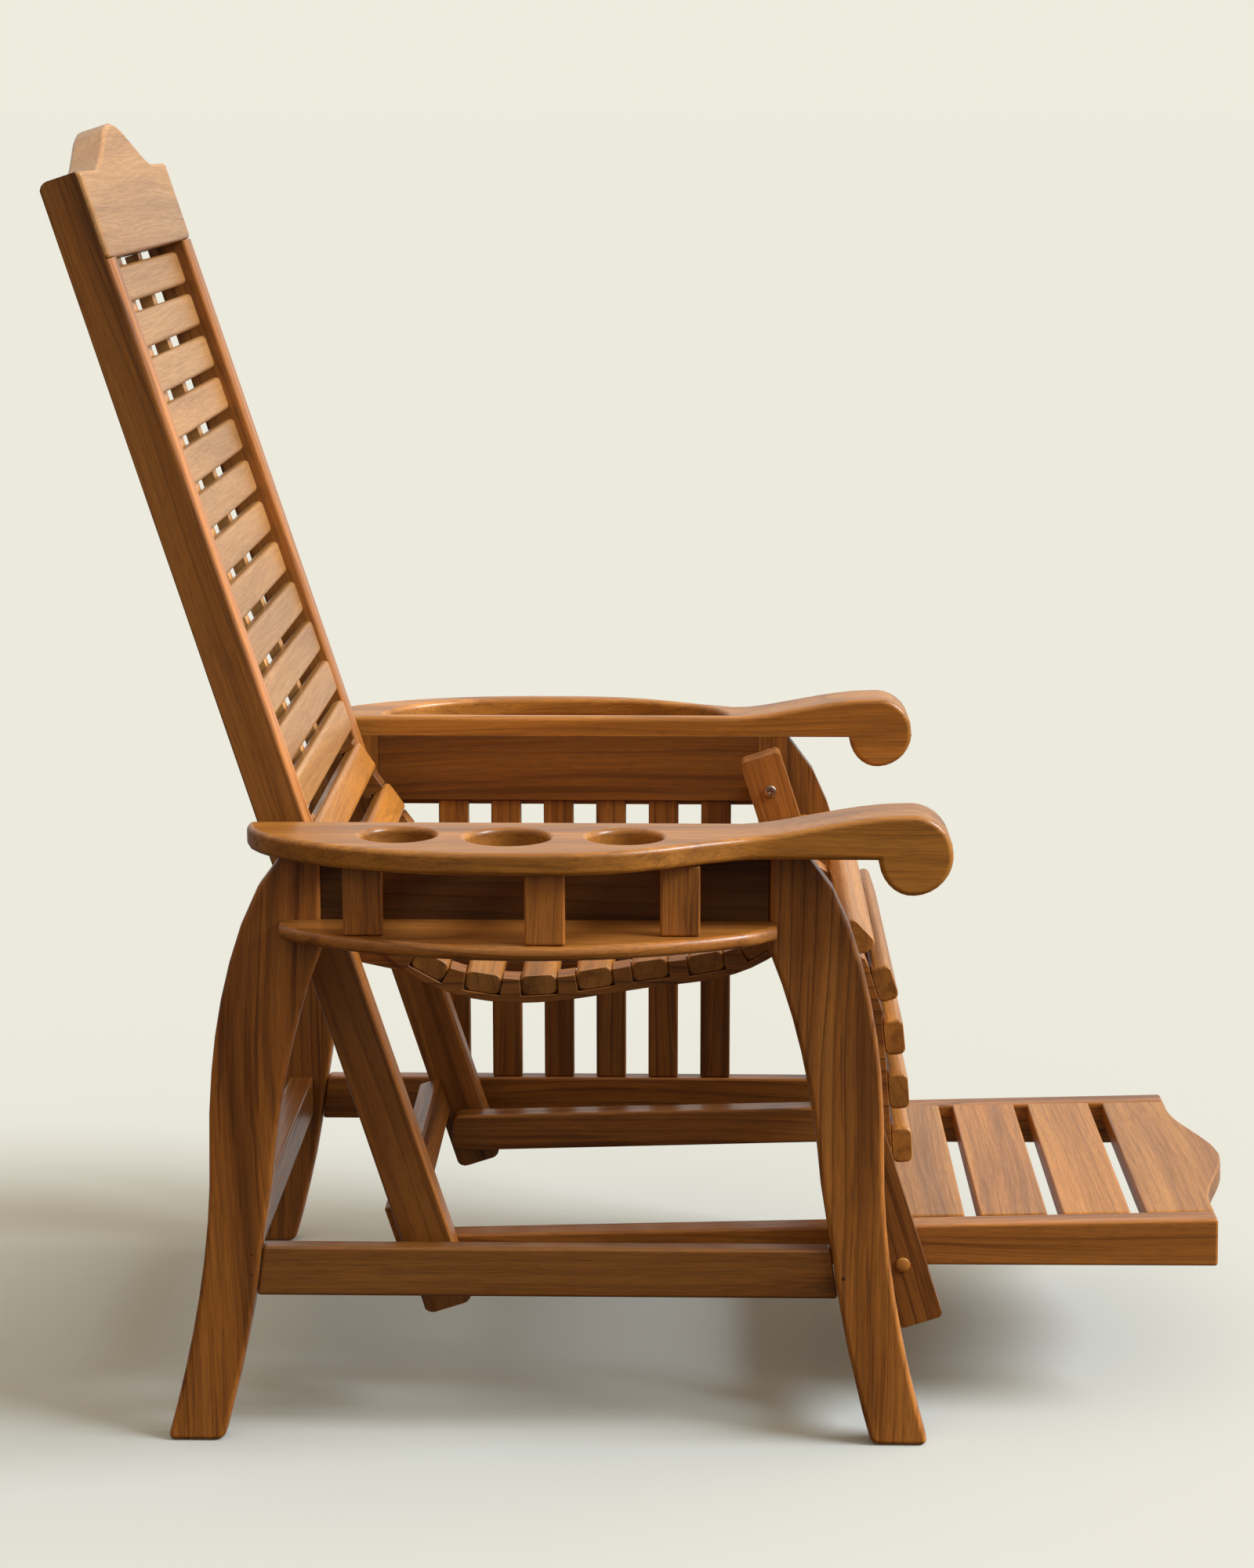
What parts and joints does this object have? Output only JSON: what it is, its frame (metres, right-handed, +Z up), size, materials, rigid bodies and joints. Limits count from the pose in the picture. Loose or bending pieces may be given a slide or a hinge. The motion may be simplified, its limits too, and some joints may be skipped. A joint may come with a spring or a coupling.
{
  "type": "easy chair",
  "caption": "Slatted teak reclining easy chair: scrolled arms with cup holes and a magazine slot, high slatted back, curved seat and a footrest that swings out as the back leans.",
  "frame": {"origin": "on the floor, in the middle of the chair's outline seen from above", "axes": "+X the way the sitter faces, +Y to the sitter's left, +Z up"},
  "size_m": [1.0682, 0.8, 1.1524],
  "materials": {
    "teak": "oiled teak, satin",
    "teak_light": "oiled teak, satin, paler boards",
    "teak_dark": "oiled teak, satin, darker boards",
    "bolt_steel": "brushed"
  },
  "bodies": {
    "frame": {"rear_leg_right": "teak", "front_leg_right": "teak", "rear_leg_left": "teak", "front_leg_left": "teak", "armrest_right": "teak_light", "armrest_left": "teak_light", "side_board_right": "teak_dark", "side_board_left": "teak_dark", "side_stretcher_right": "teak", "side_stretcher_left": "teak", "rear_cross_stretcher": "teak", "front_cross_stretcher": "teak", "cup_shelf": "teak", "cup_shelf_post_1": "teak", "cup_shelf_post_2": "teak", "cup_shelf_post_3": "teak", "magazine_shelf": "teak", "magazine_slat_1": "teak", "magazine_slat_2": "teak", "magazine_slat_3": "teak", "magazine_slat_4": "teak", "magazine_slat_5": "teak", "magazine_slat_6": "teak", "pivot_bolt_rear_right": "bolt_steel", "pivot_bolt_front_right": "bolt_steel", "pivot_bolt_rear_left": "bolt_steel", "pivot_bolt_front_left": "bolt_steel"},
    "back": {"back_stile_right": "teak", "back_stile_left": "teak", "headrest": "teak_light", "back_slat_panel": "teak_light", "back_crossbar": "teak"},
    "front_links": {"front_link_right": "teak", "front_link_left": "teak"},
    "seat": {"seat_rail_right": "teak", "seat_rail_left": "teak", "seat_slat_01": "teak_light", "seat_slat_02": "teak_light", "seat_slat_03": "teak_light", "seat_slat_04": "teak_light", "seat_slat_05": "teak_light", "seat_slat_06": "teak_light", "seat_slat_07": "teak_light", "seat_slat_08": "teak_light", "seat_slat_09": "teak_light", "seat_slat_10": "teak_light", "seat_slat_11": "teak_light", "seat_slat_12": "teak_light", "seat_slat_13": "teak_light", "seat_slat_14": "teak_light", "seat_slat_15": "teak_light", "seat_slat_16": "teak_light"},
    "footrest": {"footrest_rail_right": "teak", "footrest_rail_left": "teak", "footrest_board_1": "teak_light", "footrest_board_2": "teak_light", "footrest_board_3": "teak_light", "footrest_board_4": "teak_light"}
  },
  "joints": [
    {"name": "back_recline", "type": "hinge", "parent": "frame", "child": "back", "pos_m": [-0.31334, 0, 0.494], "axis": [0, -1, 0], "range_deg": [0, 15]},
    {"name": "link_swing", "type": "hinge", "parent": "frame", "child": "front_links", "pos_m": [0.10613, 0, 0.494], "axis": [0, -1, 0], "range_deg": [0, 15]},
    {"name": "seat_level", "type": "hinge", "parent": "front_links", "child": "seat", "pos_m": [0.12528, 0, 0.43503], "axis": [0, -1, 0], "range_deg": [-15, 0]},
    {"name": "footrest_level", "type": "hinge", "parent": "front_links", "child": "footrest", "pos_m": [0.21799, 0, 0.14972], "axis": [0, -1, 0], "range_deg": [-15, 0]}
  ],
  "couplings": [
    {"joint": "link_swing", "follows": "back_recline", "ratio": 1},
    {"joint": "seat_level", "follows": "back_recline", "ratio": -1},
    {"joint": "footrest_level", "follows": "back_recline", "ratio": -1}
  ]
}
